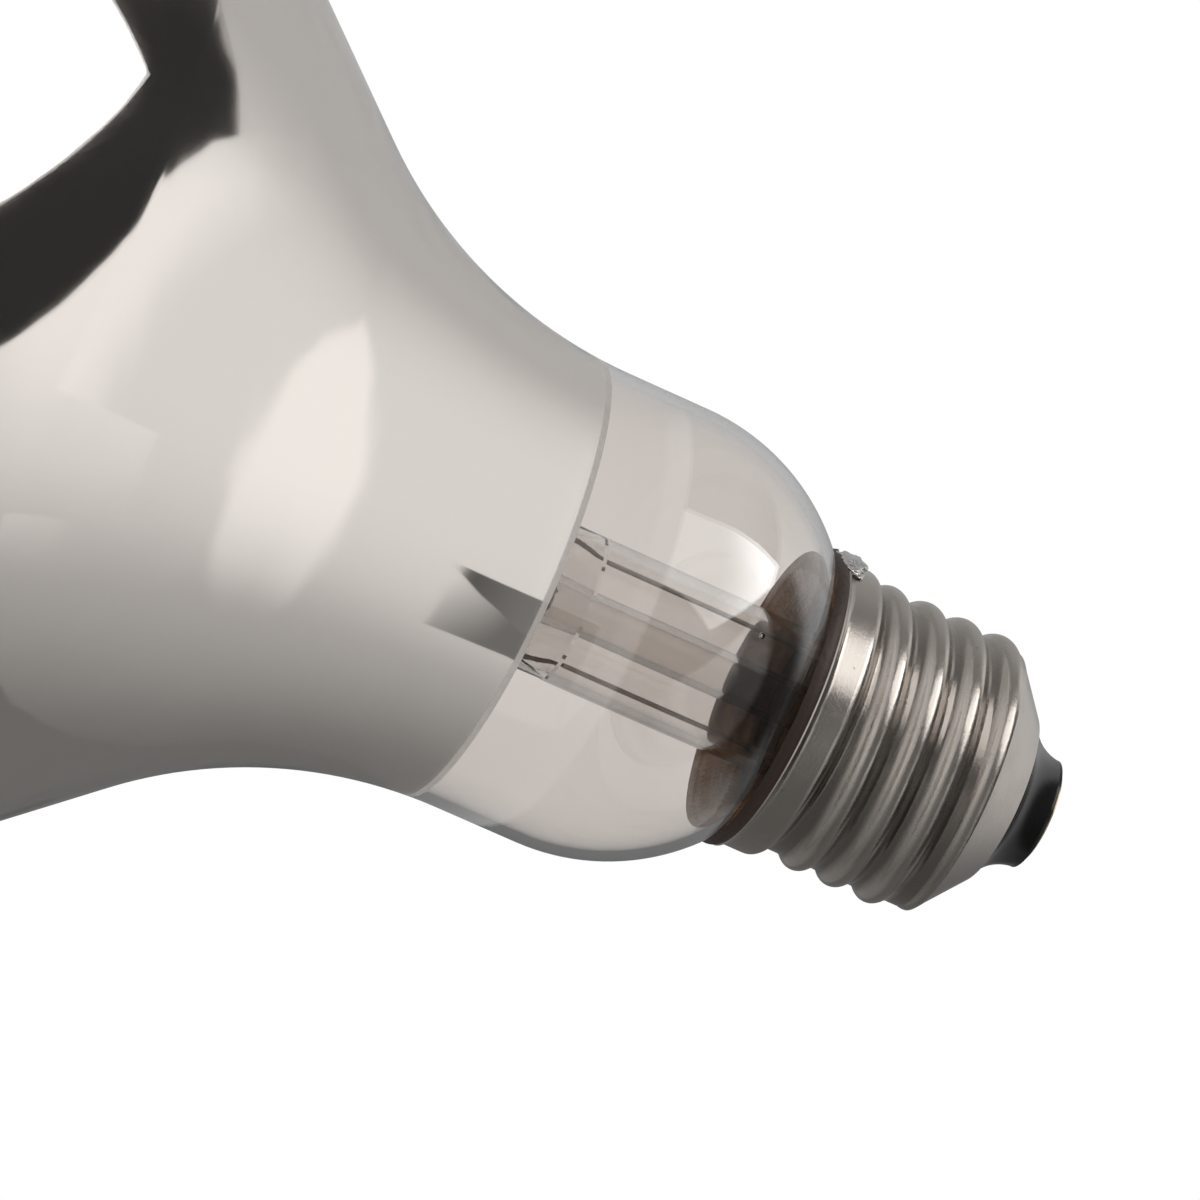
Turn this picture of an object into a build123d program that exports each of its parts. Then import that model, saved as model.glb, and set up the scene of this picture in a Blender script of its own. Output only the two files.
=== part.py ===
from build123d import *
from math import asin, atan, cos, degrees, radians, sin, sqrt, tan
import os

# Infrared heat lamp with a silvered reflector bulb and a clear neck.
# It stands on its domed face with the screw base up. Millimetres, +Z along the lamp's axis,
# origin at the middle of the face. Places on the base and the neck are measured from the
# rim of the screw shell: up towards the contact, or down towards the face.

# Overall size
bulb_dia = 127.0
overall_length = 165.0
base_height = 26.5

# Blown bulb, outside sizes
face_radius = 115.0
corner_radius = 14.0
cone_angle = 39.8
flare_radius = 44.0
flare_drop = 24.0
neck_dia = 41.2
shoulder_radius = 20.0
shoulder_drop = 16.2
shoulder_angle = 53.0
seal_radius = 10.9
seal_fillet = 3.0
seal_rise = 5.0
glass_wall = 0.9

# Mirror film on the inside of the reflector
mirror_film = 0.2
mirror_drop = 26.6

# Stem: flare, tube and pinch
stem_radius = 6.8
lip_radius = 1.3
lip_turn = 115.0
stem_drop = 20.0
pinch_width = 13.8
pinch_thick = 3.8
pinch_taper = 7.0
pinch_length = 7.0
cavity_taper = 4.0
cavity_thick = 1.6

# Exhaust tube and its port
exhaust_radius = 2.1
exhaust_wall = 0.6
exhaust_seat = 1.6
exhaust_rise = 14.0
port_radius = 0.9
port_drop = 25.9

# Leads
lead_spacing = 9.8
seal_wire_radius = 0.2
seal_wire_inside = 1.2
outer_lead_radius = 0.23
inner_lead_radius = 0.45
inner_lead_seat = 2.5
lead_bend = 3.0

# Filament and its supports
filament_drop = 78.0
filament_ring = 11.0
filament_gap = 120.0
coil_radius = 0.6
tail_radius = 0.2
tail_length = 2.8
clamp_radius = 0.7
clamp_length = 2.0
rod_radius = 1.3
button_drop = 73.0
button_radius = 2.7
button_thick = 3.2
support_count = 4
support_radius = 0.22
support_seat = 1.4
hook_clearance = 0.05
hook_turn = 250.0

# Screw shell of sheet metal
sheet = 0.3
skirt_radius = 13.5
skirt_height = 2.8
rim_curl = 0.9
rim_turn = 62.0
thread_crest = 13.15
thread_depth = 0.85
thread_pitch = 3.629
thread_first = 5.6
thread_turns = 3.15
thread_start_angle = 180.0
runout_turns = 0.35
foot_share = 0.7
back_share = 0.65
step_share = 0.8
valley_land = 0.02
step_height = 1.7
nose_length = 8.4
corner_fillet = 0.6
nose_angle = 49.3
nose_hole = 8.05
cone_overlap = 0.03

# Insulator, contact and solder
insulator_depth = 2.6
insulator_top = 5.1
insulator_lip = 0.5
eyelet_radius = 4.6
eyelet_sheet = 0.25
eyelet_bore = 1.2
eyelet_tube = 3.2
contact_bulge = 0.55
contact_radius = 3.6
side_solder_size = (0.62, 1.9, 1.5)
side_solder_rise = 0.7

# Basing cement
cement_rise = 2.4
cement_bead = 1.6

# Values that follow
bulb_radius = bulb_dia / 2
neck_radius = neck_dia / 2
rim_z = overall_length - base_height
corner_rise = base_height - nose_length
lead_x = lead_spacing / 2
filament_z = rim_z - filament_drop
stem_wall = glass_wall
thread_root = thread_crest - thread_depth
core_radius = thread_root + valley_land
thread_arc = (thread_pitch**2 / 4 + thread_depth**2) / (4 * thread_depth)


def at(radius, z):
    """A point of an upright half section."""
    return (radius, 0, z)


def arc(centre, radius, start, end):
    """An arc of a half section by its centre and the angles of its ends."""
    def spot(angle):
        a = radians(angle)
        return at(centre[0] + radius * cos(a), centre[1] + radius * sin(a))
    return Edge.make_three_point_arc(spot(start), spot((start + end) / 2), spot(end))


def line(start, end):
    return Edge.make_line(at(*start), at(*end))


def polar(centre, radius, angle):
    return (centre[0] + radius * cos(radians(angle)), centre[1] + radius * sin(radians(angle)))


def turned(edges):
    """The solid of revolution of a closed half section."""
    return Solid.revolve(Face(Wire(edges)), 360, Axis.Z)


def rod(points, radius, bend=None):
    """Round wire along straight runs joined by bends."""
    path = Polyline(*points) if bend is None else FilletPolyline(*points, radius=bend)
    start = Plane(origin=path @ 0, z_dir=path % 0)
    return sweep(start * Circle(radius), path=path)


def single(shape):
    """The one solid of a shape."""
    return shape.solids()[0]


# Centres of the bulb's arcs, all tangent to each other in turn
corner_centre_r = bulb_radius - corner_radius
widest_z = face_radius - sqrt((face_radius - corner_radius) ** 2 - corner_centre_r**2)
flare_centre = (neck_radius + flare_radius, rim_z - flare_drop)
shoulder_centre = (neck_radius - shoulder_radius, rim_z - shoulder_drop)
cone_top = polar(flare_centre, flare_radius, 180 + cone_angle)
cone_slope = tan(radians(cone_angle))
reflector_radius = (bulb_radius - cone_top[0] - (cone_top[1] - widest_z) * cone_slope) / (
    1 - cos(radians(cone_angle)) - sin(radians(cone_angle)) * cone_slope
)
reflector_centre = (bulb_radius - reflector_radius, widest_z)
shoulder_end = polar(shoulder_centre, shoulder_radius, shoulder_angle)
seal_line_dr = shoulder_end[0] - seal_radius - seal_fillet * (1 - cos(radians(shoulder_angle)))
seal_centre = (
    seal_radius + seal_fillet,
    shoulder_end[1]
    + seal_line_dr / tan(radians(shoulder_angle))
    + seal_fillet * sin(radians(shoulder_angle)),
)
dome_end_angle = degrees(atan((widest_z - face_radius) / corner_centre_r))


def bulb_line(inset, top=None, from_widest=False):
    """The bulb's outline at a depth below its outer surface, from the face or from the
    widest ring, up to the seal or to a height in the neck."""
    corner = (corner_centre_r, widest_z)
    edges = []
    if not from_widest:
        edges.append(arc((0, face_radius), face_radius - inset, -90, dome_end_angle))
        edges.append(arc(corner, corner_radius - inset, dome_end_angle, 0))
    cone_low = polar(reflector_centre, reflector_radius - inset, cone_angle)
    cone_high = polar(flare_centre, flare_radius + inset, 180 + cone_angle)
    edges.append(arc(reflector_centre, reflector_radius - inset, 0, cone_angle))
    edges.append(line(cone_low, cone_high))
    if top is not None:
        drop = degrees(asin((flare_centre[1] - top) / (flare_radius + inset)))
        edges.append(arc(flare_centre, flare_radius + inset, 180 + cone_angle, 180 + drop))
        return edges
    edges.append(arc(flare_centre, flare_radius + inset, 180 + cone_angle, 180))
    edges.append(line((neck_radius - inset, flare_centre[1]), (neck_radius - inset, shoulder_centre[1])))
    edges.append(arc(shoulder_centre, shoulder_radius - inset, 0, shoulder_angle))
    slope_low = polar(shoulder_centre, shoulder_radius - inset, shoulder_angle)
    slope_high = polar(seal_centre, seal_fillet + inset, 180 + shoulder_angle)
    edges.append(line(slope_low, slope_high))
    edges.append(arc(seal_centre, seal_fillet + inset, 180 + shoulder_angle, 180))
    edges.append(line((seal_radius - inset, seal_centre[1]), (seal_radius - inset, rim_z + seal_rise)))
    return edges


def ends(edges):
    """First and last point of a run of edges."""
    return edges[0] @ 0, edges[-1] @ 1


def skin(outer, inner):
    """The closed half section between two outlines that run the same way."""
    edges = outer + inner
    (outer_start, outer_end), (inner_start, inner_end) = ends(outer), ends(inner)
    edges.append(Edge.make_line(outer_start, inner_start))
    edges.append(Edge.make_line(outer_end, inner_end))
    return edges


def glass_envelope():
    """Bulb blown in one piece, face, reflector and neck, open at the seal."""
    return turned(skin(bulb_line(0), bulb_line(glass_wall)))


def mirror_coating():
    """Aluminium film on the inside, from the widest ring to its edge in the clear neck."""
    top = rim_z - mirror_drop
    outside = bulb_line(glass_wall, top, from_widest=True)
    inside = bulb_line(glass_wall + mirror_film, top, from_widest=True)
    return turned(skin(outside, inside))


def flare_line(side):
    """The stem's wall line from the seal over its lip and down the tube. The side is +1
    outside the bend and -1 inside it."""
    half = side * stem_wall / 2
    seal_mid = seal_radius - stem_wall / 2
    tube_mid = stem_radius - stem_wall / 2
    lip_centre = (seal_mid - lip_radius, rim_z + seal_rise)
    lip_end = polar(lip_centre, lip_radius, lip_turn)
    bell_radius = (lip_end[0] - tube_mid) / (1 + cos(radians(lip_turn)))
    bell_centre = (tube_mid + bell_radius, lip_end[1] - bell_radius * sin(radians(lip_turn)))
    edges = [
        arc(lip_centre, lip_radius + half, 0, lip_turn),
        arc(bell_centre, bell_radius + half, lip_turn, 180),
    ]
    edges.append(line((bell_centre[0] - bell_radius - half, bell_centre[1]),
                      (bell_centre[0] - bell_radius - half, rim_z - stem_drop)))
    return edges


def stem_glass():
    """Flared glass tube with its inner end pinched flat round the seal wires."""
    tube = turned(skin(flare_line(1), flare_line(-1)))
    tube_end = Plane((0, 0, rim_z - stem_drop))
    pinch_start = Plane((0, 0, rim_z - stem_drop - pinch_taper))
    cavity_end = Plane((0, 0, rim_z - stem_drop - cavity_taper))
    inner_radius = stem_radius - stem_wall
    pinch_outline = SlotOverall(pinch_width, pinch_thick)
    taper = loft([tube_end * Circle(stem_radius), pinch_start * pinch_outline])
    cavity_outline = SlotOverall(2 * inner_radius, cavity_thick)
    cavity = loft([tube_end * Circle(inner_radius), cavity_end * cavity_outline])
    blade = extrude(pinch_start * pinch_outline, amount=-pinch_length)
    blade = fillet(blade.faces().sort_by(Axis.Z)[0].edges(), pinch_thick / 4)
    stem = tube + (taper - cavity) + blade
    seat_z = rim_z - stem_drop - cavity_taper
    seat = Plane((0, 0, seat_z - exhaust_seat)) * Cylinder(
        exhaust_radius, 2 * exhaust_seat, align=(Align.CENTER, Align.CENTER, Align.MIN))
    duct = Plane((0, 0, rim_z - port_drop)) * Cylinder(
        port_radius, exhaust_seat + cavity_taper, align=(Align.CENTER, Align.CENTER, Align.MIN))
    port = Plane((0, 0, rim_z - port_drop), z_dir=(0, -1, 0)) * Cylinder(
        port_radius, pinch_width, align=(Align.CENTER, Align.CENTER, Align.MIN))
    stem = stem - seat - duct - port
    for side in (-1, 1):
        stem = stem - seal_wire(side) - inner_lead(side)
    return single(stem)


def exhaust_tube():
    """Thin tube that the lamp was pumped through, tipped off inside the base."""
    top = rim_z + exhaust_rise
    bottom = rim_z - stem_drop - cavity_taper - exhaust_seat
    bore = exhaust_radius - exhaust_wall
    dome = (0, top - exhaust_radius)
    return turned([
        arc(dome, exhaust_radius, 90, 0),
        line((exhaust_radius, dome[1]), (exhaust_radius, bottom)),
        line((exhaust_radius, bottom), (bore, bottom)),
        line((bore, bottom), (bore, dome[1])),
        arc(dome, bore, 0, 90),
        line((0, dome[1] + bore), (0, top)),
    ])


pinch_end = rim_z - stem_drop - pinch_taper - pinch_length
seal_wire_top = rim_z - stem_drop + seal_wire_inside


def button_rod():
    """Solid glass rod on the pinch with a flattened bead that holds the supports."""
    top = pinch_end
    mid = rim_z - button_drop
    half = button_thick / 2
    bulge = button_radius - half
    body = turned([
        line((0, top), (rod_radius, top)),
        line((rod_radius, top), (rod_radius, mid)),
        line((rod_radius, mid), (0, mid)),
        line((0, mid), (0, top)),
    ])
    bead = turned([
        line((0, mid + half), (bulge, mid + half)),
        arc((bulge, mid), half, 90, -90),
        line((bulge, mid - half), (0, mid - half)),
        line((0, mid - half), (0, mid + half)),
    ])
    glass = body.fuse(bead)
    for number in range(support_count):
        glass = glass.cut(support_wire(number))
    return single(glass)


def seal_wire(side):
    """Wire through the pinch, of an alloy that glass seals to."""
    bottom = pinch_end + inner_lead_seat
    x = side * lead_x
    return single(rod([(x, 0, seal_wire_top), (x, 0, bottom)], seal_wire_radius))


def filament_end(side):
    """Place and leaving direction of the coil's end on one side."""
    angle = radians(-90 + side * filament_gap / 2)
    place = Vector(filament_ring * cos(angle), filament_ring * sin(angle), filament_z)
    away = Vector(sin(angle), -cos(angle), 0) * side
    return place, away


def clamp_place(side):
    place, away = filament_end(side)
    return place + away * (tail_length - clamp_length / 2)


def tail(side, radius=tail_radius):
    place, away = filament_end(side)
    return Solid.make_cylinder(radius, tail_length, Plane(origin=place, z_dir=away))


def inner_lead(side):
    """Thick lead from the pinch to the coil, closed round the coil's tail at its end."""
    foot = clamp_place(side)
    _, away = filament_end(side)
    x = side * lead_x
    bend_z = filament_z + (pinch_end - filament_z) * 0.4
    wire = rod([
        (x, 0, pinch_end + inner_lead_seat),
        (x, 0, bend_z),
        (foot.X, foot.Y, filament_z + 3 * lead_bend),
        (foot.X, foot.Y, filament_z + clamp_radius / 2),
    ], inner_lead_radius, lead_bend)
    start = foot - away * clamp_length / 2
    clamp = Solid.make_cylinder(clamp_radius, clamp_length, Plane(origin=start, z_dir=away))
    return single(wire + clamp - tail(side))


def filament():
    """Tungsten coil bent to an open ring, with a straight tail at each end."""
    start = -90 + filament_gap / 2
    sweep_angle = 360 - filament_gap
    first = Plane(origin=(filament_ring, 0, filament_z), z_dir=(0, 1, 0))
    ring = revolve(first * Circle(coil_radius), Axis.Z, sweep_angle)
    ring = Rot(0, 0, start) * ring
    return single(ring + tail(-1) + tail(1))


def support_wire(number):
    """Wire from the bead that hooks round the coil."""
    share = (number + 1) / (support_count + 1)
    angle = -90 + filament_gap / 2 + share * (360 - filament_gap)
    hook = coil_radius + hook_clearance + support_radius
    root_r = button_radius - support_seat
    root_z = rim_z - button_drop
    dr = filament_ring - root_r
    dz = filament_z - root_z
    reach = sqrt(dr**2 + dz**2)
    heading = degrees(atan(dz / dr))
    lean = degrees(asin(hook / reach))
    touch = polar((filament_ring, filament_z), hook, heading + lean + 90)
    run = line((root_r, root_z), touch)
    first = heading + lean + 90
    bend = arc((filament_ring, filament_z), hook, first, first - hook_turn)
    path = Wire([run, bend])
    start = Plane(origin=path @ 0, z_dir=path % 0)
    wire = sweep(start * Circle(support_radius), path=path)
    return single(Rot(0, 0, angle) * wire)


def outer_lead(side):
    """Thin lead from the pinch up into the base, to the shell's rim or the end contact."""
    x = side * lead_x
    if side > 0:
        points = [
            (x, 0, seal_wire_top),
            (x, 0, rim_z + exhaust_rise - 1),
            (0, 0, rim_z + corner_rise + 1.2),
            (0, 0, rim_z + base_height - contact_bulge),
        ]
        return single(rod(points, outer_lead_radius, lead_bend / 2))
    over_z = rim_z + seal_rise + lip_radius + stem_wall / 2 + 1.4
    inside = (seal_radius + thread_root - sheet) / 2
    points = [
        (x, 0, seal_wire_top),
        (x, 0, over_z),
        (-inside, 0, over_z),
        (-inside, 0, rim_z + cement_rise),
        (-(skirt_radius - 2 * sheet), 0, rim_z - 0.1),
        (-(skirt_radius + 0.6), 0, rim_z - 0.5),
    ]
    return single(rod(points, outer_lead_radius, 0.42))


def rim_edges(side):
    """Skirt wall line from the top of the skirt down to the curled rim, +1 outside."""
    half = side * sheet / 2
    mid = skirt_radius - sheet / 2
    centre = (mid + rim_curl, rim_z + rim_curl * sin(radians(rim_turn)))
    return [
        line((mid + half, rim_z + skirt_height), (mid + half, centre[1])),
        arc(centre, rim_curl - half, 180, 180 + rim_turn),
    ]


def step_edges(side):
    """Wall line of the two bends from the skirt in to the thread's core, +1 outside."""
    half = side * sheet / 2
    high = skirt_radius - sheet / 2
    low = core_radius - sheet / 2
    drop = high - low
    bend = (drop**2 + step_height**2) / (4 * drop)
    angle = degrees(asin(step_height / 2 / bend))
    foot = rim_z + skirt_height
    return [
        arc((high - bend, foot), bend + half, 0, angle),
        arc((low + bend, foot + step_height), bend - half, 180 + angle, 180),
    ]


def nose_edges(side):
    """Wall line from the thread's core over the corner and down the nose, +1 outside."""
    half = side * sheet / 2
    low = core_radius - sheet / 2
    lean = 90 - nose_angle
    centre = (low - corner_fillet, rim_z + corner_rise - corner_fillet * tan(radians((90 - lean) / 2)))
    start = (low + half, rim_z + skirt_height + step_height)
    nose_from = polar(centre, corner_fillet + half, nose_angle)
    nose_to_r = nose_hole + half * cos(radians(nose_angle))
    run = (nose_from[0] - nose_to_r) / tan(radians(nose_angle))
    return [
        line(start, (low + half, centre[1])),
        arc(centre, corner_fillet + half, 0, nose_angle),
        line(nose_from, (nose_to_r, nose_from[1] + run)),
    ]


def shell_line(side):
    """The screw shell's plain wall line, from the nose hole down to the rim."""
    curl, skirt = rim_edges(side)[1], rim_edges(side)[0]
    return [reverse(edge) for edge in reversed(nose_edges(side))] + [
        reverse(edge) for edge in reversed(step_edges(side))] + [skirt, curl]


def reverse(edge):
    """The same edge run the other way."""
    if edge.geom_type == GeomType.LINE:
        return Edge.make_line(edge @ 1, edge @ 0)
    return Edge.make_three_point_arc(edge @ 1, edge @ 0.5, edge @ 0)


def plain_shell():
    """The shell before its thread is rolled."""
    return turned(skin(shell_line(1), shell_line(-1)))


def ridge_back(inset):
    """How deep the ridge reaches into the sheet, as a radius."""
    return core_radius - inset - sheet * back_share


def thread_face(inset):
    """One crest of the round thread at a depth below the outer surface: a crest arc between
    two root arcs, closed inside the sheet."""
    crest = thread_crest - inset
    crest_arc = thread_arc - inset
    root_arc = thread_arc + inset
    flank = asin(thread_pitch / 4 / thread_arc)
    foot = sqrt(2 * valley_land / thread_arc) * foot_share
    back = ridge_back(inset) - sheet

    def root_point(angle, side):
        height = thread_pitch / 2 - root_arc * sin(angle)
        return at(crest - thread_depth + root_arc * (1 - cos(angle)), side * height)

    low, high = root_point(foot, -1), root_point(foot, 1)
    return Face(Wire([
        Edge.make_three_point_arc(root_point(flank, 1), at(crest, 0), root_point(flank, -1)),
        Edge.make_three_point_arc(root_point(flank, -1), root_point((flank + foot) / 2, -1), low),
        Edge.make_line(low, at(back, low[2])),
        Edge.make_line(at(back, low[2]), at(back, high[2])),
        Edge.make_line(at(back, high[2]), high),
        Edge.make_three_point_arc(high, root_point((flank + foot) / 2, 1), root_point(flank, 1)),
    ]))


def thread_band(inset):
    """The ring that the thread may fill: up from the step, as far as the nose's cone."""
    low = rim_z + skirt_height + step_height * step_share
    cone = nose_edges(1)[2] @ 0
    lift = (cone_overlap - inset) / sin(radians(nose_angle))
    near, far = ridge_back(inset), skirt_radius

    def below_cone(radius):
        return (radius, cone.Z + (cone.X - radius) / tan(radians(nose_angle)) + lift)

    return turned([
        line((near, low), (far, low)),
        line((far, low), below_cone(far)),
        line(below_cone(far), below_cone(near)),
        line(below_cone(near), (near, low)),
    ])


def thread_ridge(inset):
    """The rolled ridge: full turns with a run-out at each end that sinks into the sheet."""
    face = thread_face(inset)
    rise = thread_pitch * thread_turns
    turns = Edge.make_helix(thread_pitch, rise, thread_crest)
    full = Solid.sweep(face, turns, is_frenet=True)
    runout_rise = thread_pitch * runout_turns
    sink = degrees(atan((thread_depth + 5 * valley_land) / runout_rise))
    fading = Edge.make_helix(thread_pitch, runout_rise, thread_crest, angle=-sink)
    runout = Solid.sweep(face, fading, is_frenet=True)
    upper = Pos(0, 0, rise) * Rot(0, 0, 360 * thread_turns) * runout
    lower = Rot(180, 0, 0) * runout
    start = Pos(0, 0, rim_z + thread_first) * Rot(0, 0, thread_start_angle)
    ridge = start * full.fuse(upper, lower)
    return ridge.intersect(thread_band(inset)).solids()


def screw_shell():
    """Sheet metal shell with a rolled thread, a curled rim and a cone-shaped nose."""
    return single(plain_shell().fuse(*thread_ridge(0)).cut(*thread_ridge(sheet)))


def nose_tip():
    """Where the nose's outer and inner surfaces end at the hole."""
    return nose_edges(1)[2] @ 1, nose_edges(-1)[2] @ 1


def insulator():
    """Black glass button cast into the shell's nose, with a hole for the eyelet."""
    outer, inner = nose_tip()
    inner_run = nose_edges(-1)[2]
    low = inner_run @ 0
    depth = min(insulator_depth, inner.Z - low.Z)
    share = 1 - depth / (inner.Z - low.Z)
    inside = inner_run @ share
    top = rim_z + base_height - contact_bulge
    mid_r = insulator_top + (outer.X - insulator_top) * 0.3
    mid_z = outer.Z + (top - insulator_lip - outer.Z) * 0.42
    return turned([
        Edge.make_line(at(eyelet_bore + eyelet_sheet, inside.Z), inside),
        Edge.make_line(inside, inner),
        Edge.make_line(inner, outer),
        Edge.make_three_point_arc(outer, at(mid_r, mid_z), at(insulator_top, top - insulator_lip)),
        Edge.make_line(at(insulator_top, top - insulator_lip), at(insulator_top, top - eyelet_sheet)),
        Edge.make_line(at(insulator_top, top - eyelet_sheet),
                       at(eyelet_bore + eyelet_sheet, top - eyelet_sheet)),
        Edge.make_line(at(eyelet_bore + eyelet_sheet, top - eyelet_sheet),
                       at(eyelet_bore + eyelet_sheet, inside.Z)),
    ])


def contact_eyelet():
    """Brass disc with a short tube down the insulator's hole."""
    top = rim_z + base_height - contact_bulge
    bottom = top - eyelet_sheet
    tube = eyelet_bore + eyelet_sheet
    return turned([
        line((eyelet_bore, top), (eyelet_radius, top)),
        line((eyelet_radius, top), (eyelet_radius, bottom)),
        line((eyelet_radius, bottom), (tube, bottom)),
        line((tube, bottom), (tube, top - eyelet_tube)),
        line((tube, top - eyelet_tube), (eyelet_bore, top - eyelet_tube)),
        line((eyelet_bore, top - eyelet_tube), (eyelet_bore, top)),
    ])


def contact_solder():
    """Low dome of solder over the eyelet, fused to the end of the lead."""
    top = rim_z + base_height
    base = top - contact_bulge
    sphere = (contact_radius**2 + contact_bulge**2) / (2 * contact_bulge)
    angle = degrees(asin(contact_radius / sphere))
    return turned([
        line((0, base), (contact_radius, base)),
        arc((0, top - sphere), sphere, 90 - angle, 90),
        line((0, top), (0, base)),
    ])


def side_solder():
    """Blob of solder that joins the side lead to the rim."""
    radial, around, along = side_solder_size
    place = Pos(-(skirt_radius + sheet), 0, rim_z + side_solder_rise)
    ball = place * scale(Sphere(1), by=(radial, around, along))
    blob = ball - plain_shell() - outer_lead(-1) - basing_cement()
    return blob.solids().sort_by(lambda solid: solid.volume)[-1]


def basing_cement():
    """Ring of brown cement between the glass and the skirt, squeezed out at the rim."""
    mid_glass = bulb_line(glass_wall / 2)
    slope = mid_glass[-3]
    low_slope, high_slope = slope @ 0, slope @ 1
    top = rim_z + cement_rise
    curl = rim_edges(0)[1]
    skirt = rim_edges(0)[0]
    edge = curl @ 1
    low = at(shoulder_end[0] - glass_wall / 2, rim_z - cement_bead)
    bulge = at(edge.X + 0.2, rim_z - cement_bead / 2)
    ring = turned([
        Edge.make_line(at(seal_radius - glass_wall / 2, top), at(skirt.start_point().X, top)),
        Edge.make_line(at(skirt.start_point().X, top), skirt @ 1),
        curl,
        Edge.make_three_point_arc(edge, bulge, low),
        Edge.make_line(low, at(high_slope.X, high_slope.Z)),
        Edge.make_line(high_slope, at(seal_radius - glass_wall / 2, top)),
    ])
    ring = ring.cut(glass_envelope(), plain_shell(), outer_lead(-1))
    return ring.solids().sort_by(lambda solid: solid.volume)[-1]


def build():
    """Every piece by the name of its node."""
    pieces = {
        "glass_envelope": glass_envelope(),
        "mirror_coating": mirror_coating(),
        "stem_glass": stem_glass(),
        "exhaust_tube": exhaust_tube(),
        "button_rod": button_rod(),
        "filament": filament(),
        "screw_shell": screw_shell(),
        "insulator": insulator(),
        "contact_eyelet": contact_eyelet(),
        "contact_solder": contact_solder(),
        "side_solder": side_solder(),
        "basing_cement": basing_cement(),
        "seal_wire_left": seal_wire(-1),
        "seal_wire_right": seal_wire(1),
        "inner_lead_left": inner_lead(-1),
        "inner_lead_right": inner_lead(1),
        "side_lead": outer_lead(-1),
        "contact_lead": outer_lead(1),
    }
    for number in range(support_count):
        pieces[f"support_wire_{number + 1}"] = support_wire(number)
    return pieces


os.makedirs("parts", exist_ok=True)
for name, piece in build().items():
    export_step(piece, f"parts/{name}.step")
    print(name, round(piece.volume, 3))
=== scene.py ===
import math
import bmesh
import bpy
from mathutils import Matrix, Vector, noise


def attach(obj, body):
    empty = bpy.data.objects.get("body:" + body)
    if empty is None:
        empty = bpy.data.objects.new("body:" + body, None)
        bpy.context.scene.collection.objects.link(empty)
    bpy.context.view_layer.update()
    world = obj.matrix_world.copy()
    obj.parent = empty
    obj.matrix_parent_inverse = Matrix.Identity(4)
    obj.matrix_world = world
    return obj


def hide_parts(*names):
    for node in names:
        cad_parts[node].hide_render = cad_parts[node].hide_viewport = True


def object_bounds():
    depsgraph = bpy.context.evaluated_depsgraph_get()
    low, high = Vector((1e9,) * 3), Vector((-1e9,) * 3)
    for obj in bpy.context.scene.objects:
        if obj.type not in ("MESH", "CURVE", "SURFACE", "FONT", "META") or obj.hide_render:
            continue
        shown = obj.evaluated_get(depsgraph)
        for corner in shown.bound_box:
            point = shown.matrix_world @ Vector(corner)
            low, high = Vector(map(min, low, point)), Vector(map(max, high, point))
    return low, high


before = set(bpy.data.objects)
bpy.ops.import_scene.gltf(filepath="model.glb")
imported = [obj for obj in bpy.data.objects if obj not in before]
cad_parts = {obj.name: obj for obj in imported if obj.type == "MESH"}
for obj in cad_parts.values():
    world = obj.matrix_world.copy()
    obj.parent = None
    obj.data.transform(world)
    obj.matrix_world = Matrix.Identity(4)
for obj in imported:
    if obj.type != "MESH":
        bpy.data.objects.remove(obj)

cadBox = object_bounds()
mm = 0.001
onAxis = 1e-6                   # mm, a point nearer than this is on the axis
topZ = cadBox[1][2] / mm        # end contact, highest point of the lamp
print("frame loaded, lamp height", round(topZ, 1), "mm")


# Small helpers

def linearColour(hexCode):
    values = [int(hexCode[i:i + 2], 16) / 255 for i in (1, 3, 5)]
    return [v / 12.92 if v <= 0.04045 else ((v + 0.055) / 1.055) ** 2.4 for v in values] + [1.0]


def addNode(tree, kind, inputs=None, **settings):
    node = tree.nodes.new(kind)
    for key, value in settings.items():
        setattr(node, key, value)
    for key, value in (inputs or {}).items():
        if isinstance(value, bpy.types.NodeSocket):
            tree.links.new(value, node.inputs[key])
        else:
            node.inputs[key].default_value = value
    return node


def newMaterial(name):
    material = bpy.data.materials.new(name)
    material.use_nodes = True
    material.node_tree.nodes.clear()
    return material, material.node_tree


def finishMaterial(tree, shader):
    addNode(tree, "ShaderNodeOutputMaterial", {"Surface": shader.outputs[0]})


def arcPoints(centre, radius, start, end, count):
    angles = [math.radians(start + (end - start) * i / count) for i in range(count + 1)]
    return [(centre[0] + radius * math.cos(a), centre[1] + radius * math.sin(a)) for a in angles]


def linePoints(start, end, count):
    return [(start[0] + (end[0] - start[0]) * i / count, start[1] + (end[1] - start[1]) * i / count)
            for i in range(1, count)]


def onCircle(centre, radius, angle):
    return (centre[0] + radius * math.cos(math.radians(angle)),
            centre[1] + radius * math.sin(math.radians(angle)))


def meshPiece(name, vertices, faces, material, sharpAngle=35):
    mesh = bpy.data.meshes.new(name)
    mesh.from_pydata([(x * mm, y * mm, z * mm) for x, y, z in vertices], [], faces)
    mesh.validate()
    mesh.shade_smooth()
    mesh.set_sharp_from_angle(angle=math.radians(sharpAngle))
    piece = bpy.data.objects.new(name, mesh)
    bpy.context.scene.collection.objects.link(piece)
    mesh.materials.append(material)
    return piece


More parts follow.
